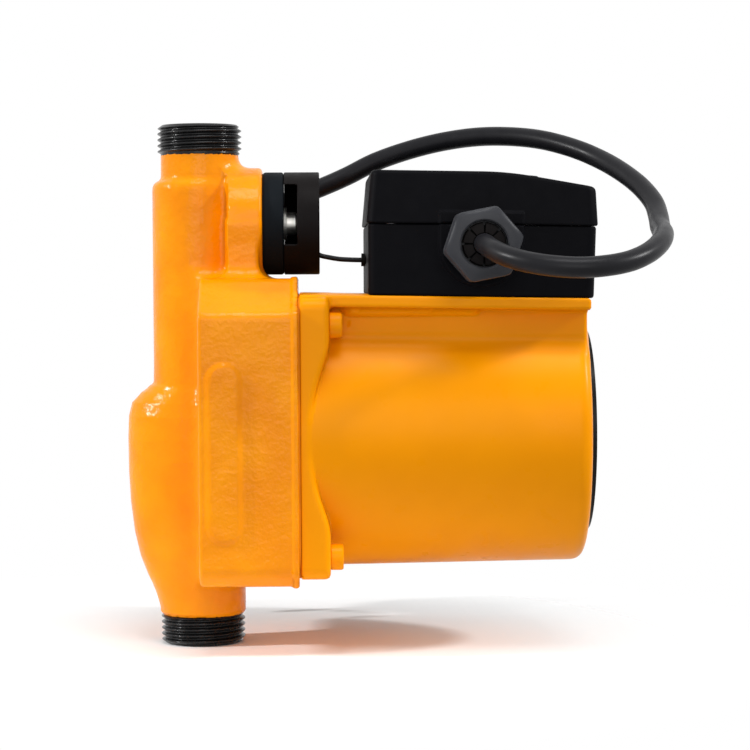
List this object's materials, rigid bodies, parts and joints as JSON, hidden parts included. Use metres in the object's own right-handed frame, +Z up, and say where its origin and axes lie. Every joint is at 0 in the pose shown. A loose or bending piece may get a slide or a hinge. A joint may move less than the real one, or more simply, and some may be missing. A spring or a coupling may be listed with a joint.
{
  "type": "circulation pump",
  "caption": "In-line wet-rotor circulation pump with threaded ports, round motor, terminal box, flow switch and a tied mains lead with a plug.",
  "frame": {"origin": "centre of the inlet port's end face, on the pipe axis", "axes": "+Z up the pipe toward the outlet, +X along the shaft toward the motor, +Y to the rear"},
  "size_m": [0.1638, 0.1606, 0.1609],
  "materials": {
    "casing_paint": "glossy orange paint on a sand casting",
    "motor_paint": "smooth satin orange paint on die-cast aluminium",
    "gasket_fibre": "matt fibre gasket",
    "stainless": "bare stainless sheet",
    "nickel": "satin nickel plate",
    "zinc_steel": "zinc plated",
    "ceramic": "white ceramic",
    "carbon": "dark carbon",
    "impeller_plastic": "moulded plastic",
    "core_steel": "laminated steel",
    "copper": "enamelled copper wire",
    "black_rubber": "soft rubber",
    "disc_black": "bare black disc",
    "brass": "turned brass",
    "box_plastic": "fine grained black plastic",
    "gland_plastic": "smooth dark nylon",
    "switch_plastic": "matt black plastic",
    "inner_plastic": "moulded plastic",
    "reed_glass": "glass",
    "cable_jacket": "satin black cable jacket",
    "plug_plastic": "moulded black plastic"
  },
  "bodies": {
    "pump": {"pump_casing": "casing_paint", "motor_housing": "motor_paint", "housing_bolts": "motor_paint", "casing_gasket": "gasket_fibre", "bearing_plate": "stainless", "rotor_can": "stainless", "flap_pin": "stainless", "switch_stem": "nickel", "plug_pins": "nickel", "base_screws": "zinc_steel", "lid_screws": "zinc_steel", "front_bearing": "carbon", "rear_bearing": "carbon", "stator_core": "core_steel", "stator_windings": "copper", "can_seal": "black_rubber", "vent_seal": "black_rubber", "switch_seal": "black_rubber", "gland_seal": "black_rubber", "sensor_grommet": "black_rubber", "end_disc": "disc_black", "vent_screw": "brass", "box_base": "box_plastic", "box_lid": "box_plastic", "gland_body": "gland_plastic", "gland_nut": "gland_plastic", "gland_locknut": "gland_plastic", "switch_base": "switch_plastic", "switch_cap": "switch_plastic", "mode_switch": "inner_plastic", "terminal_block": "inner_plastic", "capacitor": "inner_plastic", "reed_switch": "reed_glass", "power_cable": "cable_jacket", "cable_coil": "cable_jacket", "cable_tail": "cable_jacket", "sensor_lead": "cable_jacket", "power_plug": "plug_plastic", "cable_tie": "plug_plastic"},
    "rotor": {"shaft": "ceramic", "impeller": "impeller_plastic", "rotor_core": "core_steel", "thrust_ring": "ceramic"},
    "selector": {"mode_knob": "box_plastic"},
    "flap": {"flow_flap": "impeller_plastic", "flap_magnet": "nickel"}
  },
  "joints": [
    {"name": "rotor_spin", "type": "hinge", "parent": "pump", "child": "rotor", "pos_m": [0, 0, 0.0652], "axis": [1, 0, 0], "continuous": true},
    {"name": "selector_turn", "type": "hinge", "parent": "pump", "child": "selector", "pos_m": [0.09725, 0, 0.14113], "axis": [0.0192, 0, 0.9998], "range_deg": [-45, 45]},
    {"name": "flap_swing", "type": "hinge", "parent": "pump", "child": "flap", "pos_m": [0.0128, 0, 0.1262], "axis": [0, 1, 0], "range_deg": [0, 60]}
  ]
}
